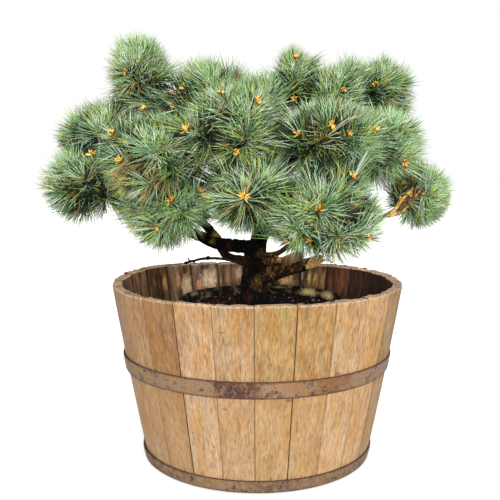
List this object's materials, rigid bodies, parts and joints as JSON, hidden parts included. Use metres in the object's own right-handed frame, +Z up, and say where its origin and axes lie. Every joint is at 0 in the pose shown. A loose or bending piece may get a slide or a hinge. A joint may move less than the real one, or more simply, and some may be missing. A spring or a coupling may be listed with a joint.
{
  "type": "potted scots pine",
  "caption": "Dwarf pine with several leaders and spreading blue-green needle tufts, in a nursery pot set in a half-barrel planter of oak staves with rusty hoops.",
  "frame": {"origin": "centre of the planter's flat underside", "axes": "+Z up through the planter, -Y towards the side that the picture shows, +X to the picture's right"},
  "size_m": [0.8447, 0.6354, 0.8666],
  "materials": {
    "staves": "dry weathered oak, honey to brown, fine upright grain",
    "floor_board": "dark damp oak",
    "hoops": "rusted iron strap",
    "nursery_pot": "dull dark olive plastic",
    "soil": "dark crumbly compost with bark chips",
    "bark": "dark flaking bark with some lichen",
    "foliage": "slender glaucous needles"
  },
  "bodies": {
    "root": {"stave_01": "staves", "stave_02": "staves", "stave_03": "staves", "stave_04": "staves", "stave_05": "staves", "stave_06": "staves", "stave_07": "staves", "stave_08": "staves", "stave_09": "staves", "stave_10": "staves", "stave_11": "staves", "stave_12": "staves", "stave_13": "staves", "stave_14": "staves", "stave_15": "staves", "stave_16": "staves", "stave_17": "staves", "stave_18": "staves", "stave_19": "staves", "stave_20": "staves", "stave_21": "staves", "stave_22": "staves", "stave_23": "staves", "stave_24": "staves", "stave_25": "staves", "base_board": "floor_board", "middle_hoop": "hoops", "lower_hoop": "hoops", "nursery_pot": "nursery_pot", "soil": "soil", "trunk": "bark", "left_lower_bough": "bark", "left_upper_bough": "bark", "left_middle_bough": "bark", "right_front_bough": "bark", "right_lower_bough": "bark", "right_middle_bough": "bark", "right_upper_bough": "bark", "back_left_bough": "bark", "back_right_bough": "bark", "sawn_bough": "bark", "top_left_mass": "foliage", "upper_left_mass": "foliage", "far_left_upper_mass": "foliage", "far_left_lower_mass": "foliage", "left_front_mass": "foliage", "left_low_mass": "foliage", "front_low_mass": "foliage", "front_upper_mass": "foliage", "centre_top_mass": "foliage", "top_tuft_mass": "foliage", "right_front_low_mass": "foliage", "right_front_upper_mass": "foliage", "right_top_mass": "foliage", "right_spike_mass": "foliage", "far_right_upper_mass": "foliage", "far_right_low_mass": "foliage", "back_left_mass": "foliage", "back_centre_mass": "foliage", "back_right_mass": "foliage"}
  },
  "joints": []
}
